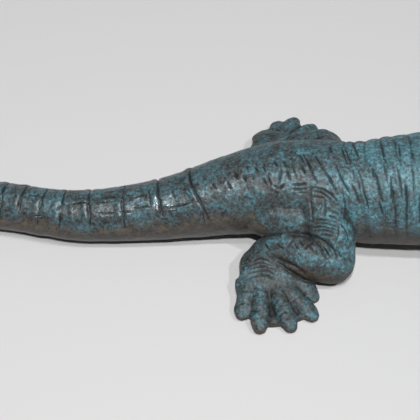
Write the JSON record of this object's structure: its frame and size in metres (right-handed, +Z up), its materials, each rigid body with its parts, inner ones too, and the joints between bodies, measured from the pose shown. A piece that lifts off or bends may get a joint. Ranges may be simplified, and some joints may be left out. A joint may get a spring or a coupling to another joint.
{
  "type": "bronze lizard statue",
  "caption": "Cast bronze lizard lying flat with spread webbed feet, a ringed tapering tail and a folded, patinated skin.",
  "frame": {"origin": "on the flat underside of the belly, midway between shoulders and hips, at the height of the surface it lies on", "axes": "+X along the back towards the head, +Y to the animal's left, +Z up"},
  "size_m": [0.3201, 0.0949, 0.0328],
  "materials": {
    "bronze_patina": "cast bronze with a mottled blue-green patina over dark brown, rubbed grey on the raised carving and brown underneath"
  },
  "bodies": {
    "root": {"lizard": "bronze_patina"}
  },
  "joints": []
}
